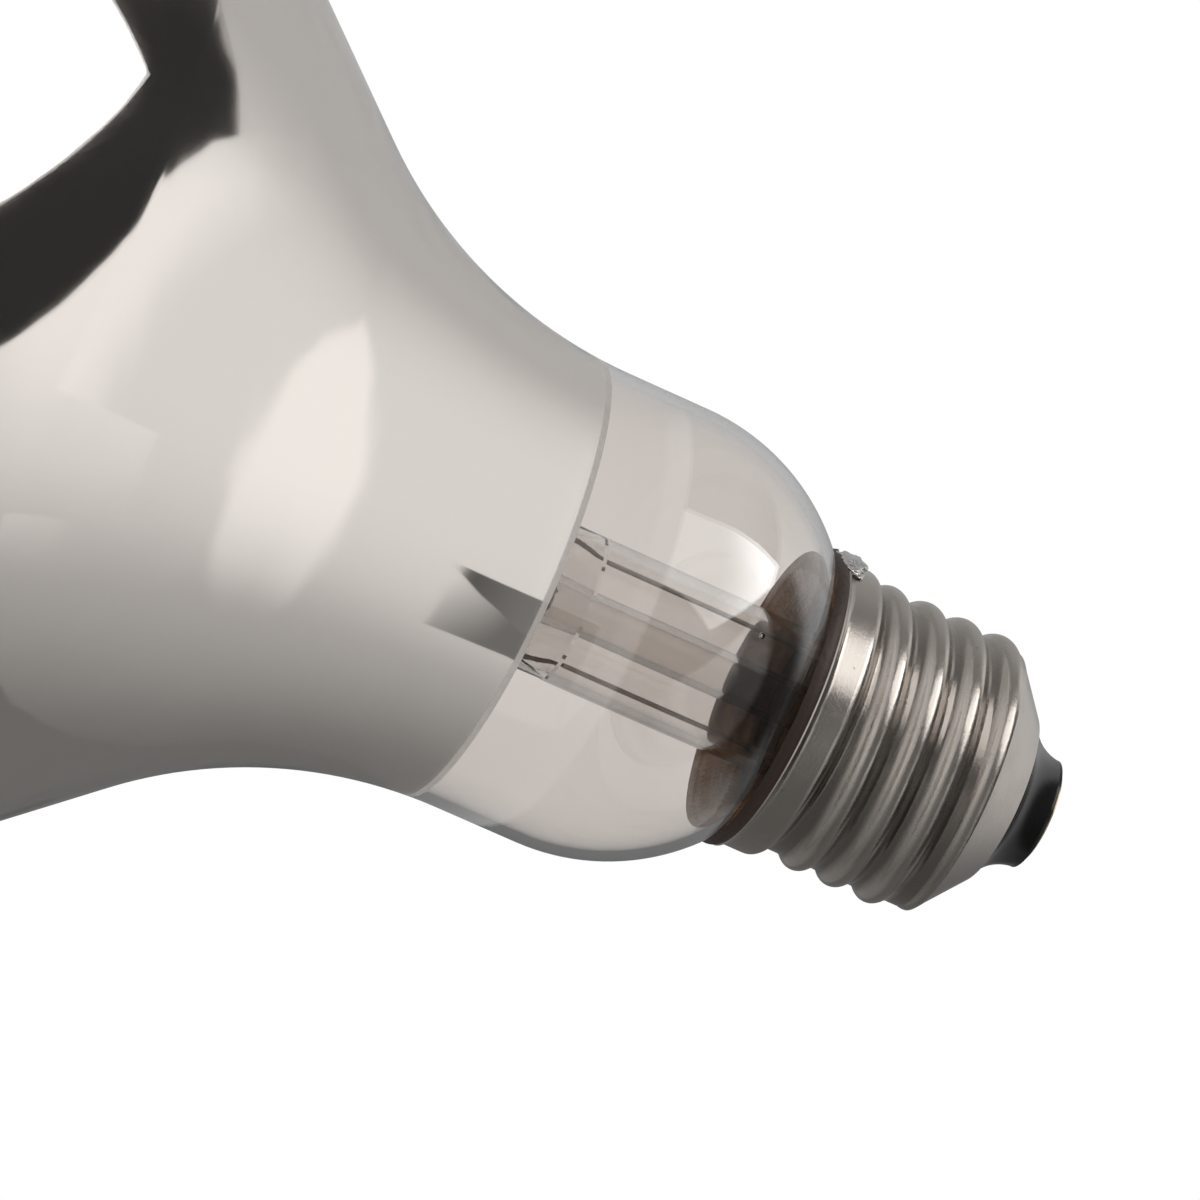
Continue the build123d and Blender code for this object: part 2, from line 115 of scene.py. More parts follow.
def turnedPiece(name, outline, steps, material):
    # outline is a closed half section of (radius, height) in mm
    vertices, rings = [], []
    for r, z in outline:
        if r < onAxis:
            rings.append([len(vertices)])
            vertices.append((0, 0, z))
            continue
        rings.append(list(range(len(vertices), len(vertices) + steps)))
        for i in range(steps):
            a = 2 * math.pi * i / steps
            vertices.append((r * math.cos(a), r * math.sin(a), z))
    faces = []
    for low, high in zip(rings, rings[1:] + rings[:1]):
        if len(low) == 1 and len(high) == 1:
            continue
        for i in range(steps):
            j = (i + 1) % steps
            if len(low) == 1:
                faces.append((low[0], high[j], high[i]))
            elif len(high) == 1:
                faces.append((low[i], low[j], high[0]))
            else:
                faces.append((low[i], low[j], high[j], high[i]))
    return meshPiece(name, vertices, faces, material)


# The bulb's outline, the same arcs as the CAD model, in mm

bulb = {
    "diameter": 127.0,
    "rimZ": 138.5,
    "faceRadius": 115.0,
    "cornerRadius": 14.0,
    "coneAngle": 39.8,
    "flareRadius": 44.0,
    "flareDrop": 24.0,
    "neckDiameter": 41.2,
    "shoulderRadius": 20.0,
    "shoulderDrop": 16.2,
    "shoulderAngle": 53.0,
    "sealRadius": 10.9,
    "sealFillet": 3.0,
    "sealRise": 5.0,
    "wall": 0.9,
    "mirrorDrop": 26.6,
    "filmLap": 0.05,         # the film bites this far into the glass, so that no two faces coincide
    "steps": 256,
    "faceSteps": 22,
    "cornerSteps": 14,
    "reflectorSteps": 30,
    "flareSteps": 24,
    "shoulderSteps": 22,
    "sealSteps": 12,
    "lineSteps": 4,
    "sealLineSteps": 3,
}


def bulbCentres():
    radius = bulb["diameter"] / 2
    neck = bulb["neckDiameter"] / 2
    cornerR = radius - bulb["cornerRadius"]
    reach = bulb["faceRadius"] - bulb["cornerRadius"]
    widest = bulb["faceRadius"] - math.sqrt(reach ** 2 - cornerR ** 2)
    flare = (neck + bulb["flareRadius"], bulb["rimZ"] - bulb["flareDrop"])
    shoulder = (neck - bulb["shoulderRadius"], bulb["rimZ"] - bulb["shoulderDrop"])
    slope = math.tan(math.radians(bulb["coneAngle"]))
    cosCone = math.cos(math.radians(bulb["coneAngle"]))
    sinCone = math.sin(math.radians(bulb["coneAngle"]))
    coneTop = onCircle(flare, bulb["flareRadius"], 180 + bulb["coneAngle"])
    reflector = (radius - coneTop[0] - (coneTop[1] - widest) * slope) / (1 - cosCone - sinCone * slope)
    end = onCircle(shoulder, bulb["shoulderRadius"], bulb["shoulderAngle"])
    turn = math.radians(bulb["shoulderAngle"])
    run = end[0] - bulb["sealRadius"] - bulb["sealFillet"] * (1 - math.cos(turn))
    seal = (bulb["sealRadius"] + bulb["sealFillet"],
            end[1] + run / math.tan(turn) + bulb["sealFillet"] * math.sin(turn))
    return {
        "face": (0, bulb["faceRadius"]),
        "corner": (cornerR, widest),
        "reflector": (radius - reflector, widest),
        "reflectorRadius": reflector,
        "flare": flare,
        "shoulder": shoulder,
        "seal": seal,
        "faceEnd": math.degrees(math.atan((widest - bulb["faceRadius"]) / cornerR)),
    }


def bulbOutline(inset, mirrorTop=None):
    # the whole bulb, or from its widest part to the mirror's edge in the neck
    c = bulbCentres()
    neck = bulb["neckDiameter"] / 2 - inset
    cone = bulb["coneAngle"]
    face = arcPoints(c["face"], bulb["faceRadius"] - inset, -90, c["faceEnd"], bulb["faceSteps"])
    corner = arcPoints(c["corner"], bulb["cornerRadius"] - inset, c["faceEnd"], 0, bulb["cornerSteps"])
    points = arcPoints(c["reflector"], c["reflectorRadius"] - inset, 0, cone, bulb["reflectorSteps"])
    if mirrorTop is None:
        points = face + corner[1:] + points[1:]
    flareStart = 180 + cone
    flareR = bulb["flareRadius"] + inset
    points += linePoints(points[-1], onCircle(c["flare"], flareR, flareStart), bulb["lineSteps"])
    if mirrorTop is not None:
        flareEnd = 180 + math.degrees(math.asin((c["flare"][1] - mirrorTop) / flareR))
        return points + arcPoints(c["flare"], flareR, flareStart, flareEnd, bulb["flareSteps"])
    points += arcPoints(c["flare"], flareR, flareStart, 180, bulb["flareSteps"])
    points += linePoints((neck, c["flare"][1]), (neck, c["shoulder"][1]), bulb["lineSteps"])
    points += arcPoints(c["shoulder"], bulb["shoulderRadius"] - inset, 0, bulb["shoulderAngle"],
                        bulb["shoulderSteps"])
    sealR = bulb["sealFillet"] + inset
    sealStart = 180 + bulb["shoulderAngle"]
    points += linePoints(points[-1], onCircle(c["seal"], sealR, sealStart), bulb["sealLineSteps"])
    points += arcPoints(c["seal"], sealR, sealStart, 180, bulb["sealSteps"])
    points.append((bulb["sealRadius"] - inset, bulb["rimZ"] + bulb["sealRise"]))
    return points


# Materials, with sizes in mm

inwardLimit = -0.5              # mm out from the axis, times how far the normal points that way

glassLook = {
    "index": 1.52,
    "wave": 14.0,
}


def clearGlass(name, tint, waviness):
    # clear glass, blown or drawn: even, with a faint long wave that bends reflections a little
    material, tree = newMaterial(name)
    place = addNode(tree, "ShaderNodeNewGeometry")
    wave = addNode(tree, "ShaderNodeTexNoise", {
        "Vector": place.outputs["Position"], "Scale": 1 / (glassLook["wave"] * mm),
        "Detail": 1.0, "Roughness": 0.4})
    bump = addNode(tree, "ShaderNodeBump", {
        "Strength": 1.0, "Distance": waviness * mm, "Height": wave.outputs[0]})
    shader = addNode(tree, "ShaderNodeBsdfPrincipled", {
        "Base Color": linearColour(tint), "Roughness": 0.0, "IOR": glassLook["index"],
        "Transmission Weight": 1.0, "Normal": bump.outputs[0]})
    finishMaterial(tree, shader)
    return material


mirrorLook = {
    "tint": "#EFE9E3",
    "haze": 9.0,
    "leastRoughness": 0.02,
    "mostRoughness": 0.06,
    "thinFrom": 0.65,        # below the film's edge, where the metal starts to thin
    "bareFrom": 0.5,         # and where only a milky trace is left
    "wave": 16.0,
    "waveDepth": 0.06,
}


def mirrorFilm():
    # evaporated aluminium: mirror bright, a trace of haze, thin and milky along its edge
    material, tree = newMaterial("evaporatedAluminium")
    place = addNode(tree, "ShaderNodeNewGeometry")
    haze = addNode(tree, "ShaderNodeTexNoise", {
        "Vector": place.outputs["Position"], "Scale": 1 / (mirrorLook["haze"] * mm), "Detail": 3.0})
    rough = addNode(tree, "ShaderNodeMapRange", {
        "Value": haze.outputs[0], "To Min": mirrorLook["leastRoughness"],
        "To Max": mirrorLook["mostRoughness"]})
    height = addNode(tree, "ShaderNodeSeparateXYZ", {0: place.outputs["Position"]})
    top = (bulb["rimZ"] - bulb["mirrorDrop"]) * mm
    edge = addNode(tree, "ShaderNodeMapRange", {
        "Value": height.outputs[2], "From Min": top - mirrorLook["thinFrom"] * mm,
        "From Max": top - mirrorLook["bareFrom"] * mm})
    metal = addNode(tree, "ShaderNodeMath", {0: 1.0, 1: edge.outputs[0]}, operation="SUBTRACT")
    wave = addNode(tree, "ShaderNodeTexNoise", {
        "Vector": place.outputs["Position"], "Scale": 1 / (mirrorLook["wave"] * mm),
        "Detail": 2.0, "Roughness": 0.5})
    bump = addNode(tree, "ShaderNodeBump", {
        "Strength": 1.0, "Distance": mirrorLook["waveDepth"] * mm, "Height": wave.outputs[0]})
    shader = addNode(tree, "ShaderNodeBsdfPrincipled", {
        "Base Color": linearColour(mirrorLook["tint"]), "Metallic": metal.outputs[0],
        "Roughness": rough.outputs[0], "Normal": bump.outputs[0]})
    finishMaterial(tree, shader)
    return material


wireLook = {
    "grain": 1.2,
    "brighter": 0.7,         # shares of a wire's roughness
    "duller": 1.3,
}


def wireMetal(name, tint, roughness):
    # drawn wire: fine lines too small to show, so only an uneven sheen
    material, tree = newMaterial(name)
    place = addNode(tree, "ShaderNodeNewGeometry")
    drawn = addNode(tree, "ShaderNodeTexNoise", {
        "Vector": place.outputs["Position"], "Scale": 1 / (wireLook["grain"] * mm), "Detail": 4.0})
    rough = addNode(tree, "ShaderNodeMapRange", {
        "Value": drawn.outputs[0], "To Min": roughness * wireLook["brighter"],
        "To Max": roughness * wireLook["duller"]})
    shader = addNode(tree, "ShaderNodeBsdfPrincipled", {
        "Base Color": linearColour(tint), "Metallic": 1.0, "Roughness": rough.outputs[0]})
    finishMaterial(tree, shader)
    return material


def awayFromAxis(tree, surface):
    # the level way from the lamp's axis to a place
    return addNode(tree, "ShaderNodeVectorMath", {
        0: surface.outputs["Position"], 1: (1, 1, 0)}, operation="MULTIPLY")


def facesInward(tree, surface, away):
    # one where a surface faces the lamp's axis
    radial = addNode(tree, "ShaderNodeVectorMath", {
        0: surface.outputs["Normal"], 1: away.outputs[0]}, operation="DOT_PRODUCT")
    return addNode(tree, "ShaderNodeMath", {
        0: radial.outputs["Value"], 1: inwardLimit * mm}, operation="LESS_THAN")


plateLook = {
    "tint": "#B4ADA6",
    "leastRoughness": 0.16,
    "mostRoughness": 0.32,
    "patch": 4.0,            # size of the duller patches
    "lineLength": 2.5,       # draw lines, round the shell
    "lineWidth": 0.2,        # coarser than real ones, so that they show
    "relief": 0.03,
    "grain": 0.45,
    "speckTint": "#4B443E",
    "speckFrom": 0.66,       # specks of dirt where the grain's noise is over this
    "speckTo": 0.74,
    "speckShare": 0.55,
    "valleyShadeTint": "#544C45",
    "valleyShadeShare": 0.62,
    "valleyFloor": 12.15,    # radius, painted shade below this and none past the next
    "valleyEdge": 12.75,
    "threadTop": 155.6,      # height, painted shade below this and none past the next
    "noseStart": 156.6,
    "insideTint": "#9A7B5E",
    "insideRoughness": 0.7,
    "insideMetal": 0.2,
}


def nickelPlate():
    # nickel on rolled brass sheet: bright and a little warm, with fine draw lines and specks of dirt,
    # painted shade in the thread's valleys, and bare, heat stained brass on the inside
    look = plateLook
    material, tree = newMaterial("nickelPlatedBrass")
    place = addNode(tree, "ShaderNodeTexCoord")
    surface = addNode(tree, "ShaderNodeNewGeometry")
    along, across = 1 / (look["lineLength"] * mm), 1 / (look["lineWidth"] * mm)
    drawn = addNode(tree, "ShaderNodeMapping", {
        "Vector": place.outputs["Object"], "Scale": (along, along, across)})
    lines = addNode(tree, "ShaderNodeTexNoise", {
        "Vector": drawn.outputs[0], "Scale": 1.0, "Detail": 4.0, "Roughness": 0.65})
    grain = addNode(tree, "ShaderNodeTexNoise", {
        "Vector": place.outputs["Object"], "Scale": 1 / (look["grain"] * mm),
        "Detail": 3.0, "Roughness": 0.7})
    patches = addNode(tree, "ShaderNodeTexNoise", {
        "Vector": place.outputs["Object"], "Scale": 1 / (look["patch"] * mm), "Detail": 3.0})
    rough = addNode(tree, "ShaderNodeMapRange", {
        "Value": patches.outputs[0], "From Min": 0.3, "From Max": 0.7,
        "To Min": look["leastRoughness"], "To Max": look["mostRoughness"]})
    speck = addNode(tree, "ShaderNodeMapRange", {
        "Value": grain.outputs[0], "From Min": look["speckFrom"], "From Max": look["speckTo"],
        "To Min": 0.0, "To Max": look["speckShare"]})
    plated = addNode(tree, "ShaderNodeMix", {
        "Factor": speck.outputs[0], "A": linearColour(look["tint"]),
        "B": linearColour(look["speckTint"])}, data_type="RGBA")
    away = awayFromAxis(tree, surface)
    inside = facesInward(tree, surface, away)
    radius = addNode(tree, "ShaderNodeVectorMath", {0: away.outputs[0]}, operation="LENGTH")
    # painted shade: darker in the thread's valleys, below the valley's edge and up to the nose
    valley = addNode(tree, "ShaderNodeMapRange", {
        "Value": radius.outputs["Value"], "From Min": look["valleyFloor"] * mm,
        "From Max": look["valleyEdge"] * mm, "To Min": look["valleyShadeShare"], "To Max": 0.0},
        interpolation_type="SMOOTHSTEP")
    height = addNode(tree, "ShaderNodeSeparateXYZ", {0: surface.outputs["Position"]})
    threaded = addNode(tree, "ShaderNodeMapRange", {
        "Value": height.outputs[2], "From Min": look["threadTop"] * mm,
        "From Max": look["noseStart"] * mm, "To Min": 1.0, "To Max": 0.0})
    valleyShade = addNode(tree, "ShaderNodeMath", {
        0: valley.outputs[0], 1: threaded.outputs[0]}, operation="MULTIPLY")
    valleyShaded = addNode(tree, "ShaderNodeMix", {
        "Factor": valleyShade.outputs[0], "A": plated.outputs[2], "B": linearColour(look["valleyShadeTint"])},
        data_type="RGBA")
    colour = addNode(tree, "ShaderNodeMix", {
        "Factor": inside.outputs[0], "A": valleyShaded.outputs[2], "B": linearColour(look["insideTint"])},
        data_type="RGBA")
    dull = addNode(tree, "ShaderNodeMix", {
        "Factor": inside.outputs[0], "A": rough.outputs[0], "B": look["insideRoughness"]})
    metal = addNode(tree, "ShaderNodeMix", {
        "Factor": inside.outputs[0], "A": 1.0, "B": look["insideMetal"]})
    relief = addNode(tree, "ShaderNodeMath", {
        0: lines.outputs[0], 1: grain.outputs[0]}, operation="ADD")
    bump = addNode(tree, "ShaderNodeBump", {
        "Strength": 0.5, "Distance": look["relief"] * mm, "Height": relief.outputs[0]})
    shader = addNode(tree, "ShaderNodeBsdfPrincipled", {
        "Base Color": colour.outputs[2], "Metallic": metal.outputs[0], "Roughness": dull.outputs[0],
        "Normal": bump.outputs[0]})
    finishMaterial(tree, shader)
    return material


lumpLight = 1.4                 # how much lighter the tops of the lumps are


def plainSurface(name, tint, roughness, grain, depth, insideTint=None):
    # a cast or baked surface with small lumps of one real size; painted light makes it paler where it
    # faces the glass
    material, tree = newMaterial(name)
    place = addNode(tree, "ShaderNodeNewGeometry")
    lumps = addNode(tree, "ShaderNodeTexNoise", {
        "Vector": place.outputs["Position"], "Scale": 1 / (grain * mm), "Detail": 5.0})
    inside = facesInward(tree, place, awayFromAxis(tree, place))
    # painted light: faces towards the axis take the paler inside tint
    base = addNode(tree, "ShaderNodeMix", {
        "Factor": inside.outputs[0], "A": linearColour(tint), "B": linearColour(insideTint or tint)},
        data_type="RGBA")
    light = addNode(tree, "ShaderNodeVectorMath", {
        0: base.outputs[2], 1: (lumpLight,) * 3}, operation="MULTIPLY")
    shade = addNode(tree, "ShaderNodeMix", {
        "Factor": lumps.outputs[0], "A": base.outputs[2], "B": light.outputs[0]}, data_type="RGBA")
    bump = addNode(tree, "ShaderNodeBump", {
        "Strength": 1.0, "Distance": depth * mm, "Height": lumps.outputs[0]})
    shader = addNode(tree, "ShaderNodeBsdfPrincipled", {
        "Base Color": shade.outputs[2], "Roughness": roughness, "Normal": bump.outputs[0]})
    finishMaterial(tree, shader)
    return material


bulbGlass = clearGlass("blownSodaLimeGlass", "#FBFAF9", 0.02)     # clear, with wavering reflections
stemGlass = clearGlass("drawnLeadGlass", "#F4F2F0", 0.01)         # a little greyer and more even
film = mirrorFilm()
nickel = nickelPlate()
print("materials made")


# Bulb and mirror

bubble = {
    # one seed of air in the glass of the shoulder, in mm
    "place": (-4.4, -17.8, 130.5),
    "radius": 0.28,
    "subdivisions": 3,
}


def addBubble(piece):
    shape = bmesh.new()
    shape.from_mesh(piece.data)
    place = Matrix.Translation([v * mm for v in bubble["place"]])
    made = bmesh.ops.create_icosphere(
        shape, subdivisions=bubble["subdivisions"], radius=bubble["radius"] * mm, matrix=place)
    faces = {face for vertex in made["verts"] for face in vertex.link_faces}
    for face in faces:
        face.smooth = True
    bmesh.ops.reverse_faces(shape, faces=list(faces))
    shape.to_mesh(piece.data)
    shape.free()


def makeBulb():
    outline = bulbOutline(0) + bulbOutline(bulb["wall"])[::-1]
    glass = turnedPiece("bulbGlass", outline, bulb["steps"], bulbGlass)
    addBubble(glass)
    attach(glass, "root")
    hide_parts("glass_envelope")
    top = bulb["rimZ"] - bulb["mirrorDrop"]
    outside = bulbOutline(bulb["wall"] - bulb["filmLap"], top)
    inside = bulbOutline(bulb["wall"] + bulb["filmLap"], top)
    mirror = turnedPiece("mirrorFilm", outside + inside[::-1], bulb["steps"], film)
    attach(mirror, "root")
    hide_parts("mirror_coating")


makeBulb()
print("bulb made")


# Solder at the rim: a cold lump, pitted where the flux boiled off

solder = {
    "radius": 13.72,         # mm, the skirt's outside
    "angle": 192.0,
    "rise": 0.6,
    "radial": 0.72,
    "around": 2.7,
    "along": 1.55,
    "rings": 40,
    "steps": 80,
    "lumpScale": 1.9,        # both on a ball of radius 1
    "lumpHeight": 0.3,
    "lumpSeed": (3.1, 0.4, 1.7),
    "pitScale": 5.2,
    "pitDepth": 0.22,
    "pitSeed": (7.7, 2.2, 5.9),
    "sharpAngle": 60,
}


def makeSolder():
    turn = Matrix.Rotation(math.radians(solder["angle"]), 3, "Z")
    vertices, faces = [], []
    rings, steps = solder["rings"], solder["steps"]
    for i in range(rings + 1):
        lean = math.pi * i / rings
        for j in range(steps):
            a = 2 * math.pi * j / steps
            d = Vector((math.sin(lean) * math.cos(a), math.sin(lean) * math.sin(a), math.cos(lean)))
            lumps = noise.noise(d * solder["lumpScale"] + Vector(solder["lumpSeed"]))
            pits = noise.noise(d * solder["pitScale"] + Vector(solder["pitSeed"]))
            size = 1 + solder["lumpHeight"] * lumps - solder["pitDepth"] * max(0, pits)
            angle = size * d.y * solder["around"] / solder["radius"]
            radius = solder["radius"] + size * d.x * solder["radial"]
            spot = turn @ Vector((radius * math.cos(angle), radius * math.sin(angle), 0))
            height = bulb["rimZ"] + solder["rise"] + size * d.z * solder["along"]
            vertices.append((spot.x, spot.y, height))
    for i in range(rings):
        for j in range(steps):
            k = (j + 1) % steps
            faces.append((i * steps + j, (i + 1) * steps + j, (i + 1) * steps + k, i * steps + k))
    lump = meshPiece("sideSolder", vertices, faces, tin, solder["sharpAngle"])
    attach(lump, "root")
    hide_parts("side_solder")


tin = wireMetal("tinSolder", "#C9C7C4", 0.2)        # bright tin and lead, cold and uneven
makeSolder()
print("solder made")


# Filament: the coil's turns, each one of real wire

coil = {
    "height": 60.5,          # mm
    "ring": 11.0,
    "gap": 120.0,            # degrees left open on the camera side
    "outside": 0.6,
    "wire": 0.1,
    "turns": 150,
    "perTurn": 16,
    "sides": 6,
    "tailLength": 2.8,
    "tailRadius": 0.2,
    "tailSides": 12,
    "cap": 0.1,              # half the thickness of the disc that joins coil and tail
    "capSides": 20,
    "sharpAngle": 50,
}


def tube(vertices, faces, path, radius, sides, up):
    # a round wire along a path, its section turned by a frame that follows the path
    first = len(vertices)
    for i, spot in enumerate(path):
        run = (path[min(i + 1, len(path) - 1)] - path[max(i - 1, 0)]).normalized()
        across = run.cross(up[i]).normalized()
        over = across.cross(run)
        for j in range(sides):
            a = 2 * math.pi * j / sides
            vertices.append(tuple(spot + (across * math.cos(a) + over * math.sin(a)) * radius))
    for i in range(len(path) - 1):
        for j in range(sides):
            k = (j + 1) % sides
            low, high = first + i * sides, first + (i + 1) * sides
            faces.append((low + j, low + k, high + k, high + j))
    last = first + (len(path) - 1) * sides
    faces.append(tuple(range(first + sides - 1, first - 1, -1)))
    faces.append(tuple(range(last, last + sides)))


def makeCoil():
    vertices, faces, path, outward = [], [], [], []
    start = math.radians(-90 + coil["gap"] / 2)
    sweep = math.radians(360 - coil["gap"])
    count = coil["turns"] * coil["perTurn"]
    bend = coil["outside"] - coil["wire"]
    for i in range(count + 1):
        along = start + sweep * i / count
        turn = 2 * math.pi * i / coil["perTurn"]
        ring = Vector((math.cos(along), math.sin(along), 0))
        side = ring * math.cos(turn) + Vector((0, 0, math.sin(turn)))
        path.append(ring * coil["ring"] + Vector((0, 0, coil["height"])) + side * bend)
        outward.append(side)
    tube(vertices, faces, path, coil["wire"], coil["sides"], outward)
    up = [Vector((0, 0, 1))] * 2
    for angle, sense in ((start, -1), (start + sweep, 1)):
        place = Vector((math.cos(angle) * coil["ring"], math.sin(angle) * coil["ring"], coil["height"]))
        away = Vector((-math.sin(angle), math.cos(angle), 0)) * sense
        tail = [place - away * coil["outside"], place + away * coil["tailLength"]]
        tube(vertices, faces, tail, coil["tailRadius"], coil["tailSides"], up)
        cap = [place - away * coil["cap"], place + away * coil["cap"]]
        tube(vertices, faces, cap, coil["outside"], coil["capSides"], up)
    wound = meshPiece("filamentCoil", vertices, faces, tungsten, coil["sharpAngle"])
    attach(wound, "root")
    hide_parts("filament")


tungsten = wireMetal("drawnTungsten", "#6E6C6A", 0.4)      # grey, dull after use
makeCoil()
print("filament made")


# The other pieces keep their CAD meshes and get their materials here

nodeMaterials = {
    "stem_glass": stemGlass,
    "exhaust_tube": stemGlass,
    "button_rod": stemGlass,
    "screw_shell": nickel,
    "insulator": plainSurface("castBlackGlass", "#100F0F", 0.22, 1.6, 0.015),    # opaque and glossy
    "contact_eyelet": wireMetal("pressedBrass", "#BFA986", 0.3),                 # pale, a little dull
    "contact_solder": tin,
    # phenolic cement, dark brown where it is open, with painted light making it tan where it lies
    # behind the glass
    "basing_cement": plainSurface("bakedResinCement", "#2A1B12", 0.5, 0.7, 0.12, "#C08F66"),
    "seal_wire_left": wireMetal("sealAlloy", "#5E463B", 0.4),                    # brown copper skin
    "inner_lead_left": wireMetal("drawnNickel", "#A19C94", 0.3),                 # warm grey, soft shine
    "side_lead": wireMetal("dullCopper", "#A4978B", 0.5),                        # tarnished, no shine
    "support_wire_1": wireMetal("drawnMolybdenum", "#77777A", 0.35),             # darker, bluish grey
}
for copy, source in {
    "seal_wire_right": "seal_wire_left",
    "inner_lead_right": "inner_lead_left",
    "contact_lead": "side_lead",
    "support_wire_2": "support_wire_1",
    "support_wire_3": "support_wire_1",
    "support_wire_4": "support_wire_1",
}.items():
    nodeMaterials[copy] = nodeMaterials[source]

for name, material in nodeMaterials.items():
    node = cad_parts[name]
    node.data.materials.clear()
    node.data.materials.append(material)
print("materials put on the other pieces")

# Camera: level with the base, on the face side, rolled as the photo is

camera = {
    "tilt": 13.0,            # degrees the view leans in from the face side
    "roll": 24.0,            # degrees the lamp's axis falls to the right
    "scale": 11.45,          # pixels a mm at the lamp's axis
    "rimPixel": (776.0, 698.6),    # the axis at the shell's rim, in the photo's frame
    "distance": 830.0,       # mm
    "imageSize": 1200,
    "sensor": 36.0,
    "clipEnd": 20,           # metres
}


def makeCamera():
    tilt = math.radians(camera["tilt"])
    roll = math.radians(camera["roll"])
    view = Vector((0, math.cos(tilt), math.sin(tilt)))
    along = Vector((0, -math.sin(tilt), math.cos(tilt)))
    across = Vector((1, 0, 0))
    right = along * math.cos(roll) - across * math.sin(roll)
    down = along * math.sin(roll) + across * math.cos(roll)
    rim = Vector((0, 0, bulb["rimZ"]))
    half = camera["imageSize"] / 2
    offset = [(half - p) / camera["scale"] for p in camera["rimPixel"]]
    target = rim + right * offset[0] + down * offset[1]
    data = bpy.data.cameras.new("camera")
    data.sensor_width = camera["sensor"]
    frameWidth = camera["imageSize"] / camera["scale"]
    data.lens = camera["sensor"] * camera["distance"] / frameWidth
    data.clip_end = camera["clipEnd"]
    eye = bpy.data.objects.new("camera", data)
    bpy.context.scene.collection.objects.link(eye)
    turn = Matrix((right, -down, -view)).transposed()
    eye.matrix_world = Matrix.Translation((target - view * camera["distance"]) * mm) @ turn.to_4x4()
    bpy.context.scene.camera = eye


makeCamera()
print("camera made")


# Studio: the room, a soft box and two boards that the mirror and the metal show, white behind the lamp

studio = {
    "behind": "#FFFFFF",         # straight behind the lamp
    "throughGlass": "#D2CBC6",   # the room as the clear glass shows it
    "fill": 0.9,                 # plain light on everything that isn't shiny
    "top": 0.03,
    "cameraSide": 0.2,
    "rightSide": 0.13,
    "leftSide": 0.36,
    "farLeft": 0.5,
    "farRight": 0.28,
    "below": 0.3,
    "insideShare": 0.35,         # of the room, as the inside of the stem shows it
}


def shinyRay(tree, path):
    # one for a ray that has left a shiny surface, none for one that comes straight or through glass,
    # and a small share for one from inside the stem, past the bulb's two faces
    shiny = addNode(tree, "ShaderNodeMath", {
        0: path.outputs["Glossy Depth"], 1: 0.5}, operation="GREATER_THAN")
    share = addNode(tree, "ShaderNodeMapRange", {
        "Value": path.outputs["Transmission Depth"], "From Min": 2.0, "From Max": 3.0,
        "To Min": 1.0, "To Max": studio["insideShare"]})
    return addNode(tree, "ShaderNodeMath", {
        0: shiny.outputs[0], 1: share.outputs[0]}, operation="MULTIPLY")


roomSteps = {
    # each blends two levels along one axis of the way looked: axis, from, to, level before, level after
    "across": (0, -0.25, 0.75, "leftSide", "rightSide"),
    "nearCamera": (1, 0.0, -0.75, "across", "cameraSide"),
    "far": (0, -0.35, 0.3, "farLeft", "farRight"),
    "beyond": (1, 0.0, 0.6, "nearCamera", "far"),
    "above": (2, 0.35, 0.8, "beyond", "top"),
    "room": (2, 0.0, -0.6, "above", "below"),
}


def makeWorld():
    world = bpy.data.worlds.new("studio")
    world.use_nodes = True
    bpy.context.scene.world = world
    tree = world.node_tree
    tree.nodes.clear()
    place = addNode(tree, "ShaderNodeTexCoord")
    sides = addNode(tree, "ShaderNodeSeparateXYZ", {0: place.outputs["Generated"]})
    level = dict(studio)
    for name, (axis, start, end, before, after) in roomSteps.items():
        share = addNode(tree, "ShaderNodeMapRange", {
            "Value": sides.outputs[axis], "From Min": start, "From Max": end},
            interpolation_type="SMOOTHSTEP")
        mixed = addNode(tree, "ShaderNodeMix", {
            "Factor": share.outputs[0], "A": level[before], "B": level[after]})
        level[name] = mixed.outputs[0]
    path = addNode(tree, "ShaderNodeLightPath")
    shiny = shinyRay(tree, path)
    diffuse = addNode(tree, "ShaderNodeMath", {
        0: path.outputs["Diffuse Depth"], 1: 0.5}, operation="GREATER_THAN")
    strength = addNode(tree, "ShaderNodeMix", {
        "Factor": diffuse.outputs[0], "A": level["room"], "B": studio["fill"]})
    roomLight = addNode(tree, "ShaderNodeBackground", {
        "Color": (1, 1, 1, 1), "Strength": strength.outputs[0]})
    plain = addNode(tree, "ShaderNodeMix", {
        "Factor": path.outputs["Is Camera Ray"], "A": linearColour(studio["throughGlass"]),
        "B": linearColour(studio["behind"])}, data_type="RGBA")
    plainLight = addNode(tree, "ShaderNodeBackground", {"Color": plain.outputs[2], "Strength": 1.0})
    either = addNode(tree, "ShaderNodeMath", {
        0: shiny.outputs[0], 1: diffuse.outputs[0]}, operation="MAXIMUM")
    light = addNode(tree, "ShaderNodeMixShader", {
        0: either.outputs[0], 1: plainLight.outputs[0], 2: roomLight.outputs[0]})
    addNode(tree, "ShaderNodeOutputWorld", {"Surface": light.outputs[0]})


def studioCard(name, corners, strength, faces=None):
    # seen in shiny surfaces only
    material, tree = newMaterial(name)
    shiny = shinyRay(tree, addNode(tree, "ShaderNodeLightPath"))
    clear = addNode(tree, "ShaderNodeBsdfTransparent")
    glow = addNode(tree, "ShaderNodeEmission", {"Color": (1, 1, 1, 1), "Strength": strength(tree)})
    shader = addNode(tree, "ShaderNodeMixShader", {
        0: shiny.outputs[0], 1: clear.outputs[0], 2: glow.outputs[0]})
    finishMaterial(tree, shader)
    card = meshPiece(name, corners, faces or [tuple(range(len(corners)))], material)


softBox = {
    # corners in mm: a big box up and to the left, towards the camera
    "corner": (-234, -18, 400),
    "edgeOne": (-315, -246, -325),
    "edgeTwo": (160, -208, -131),
    "strength": 6.0,
    "footStrength": 2.0,
    "footHeight": 250.0,
    "fullHeight": 370.0,
}


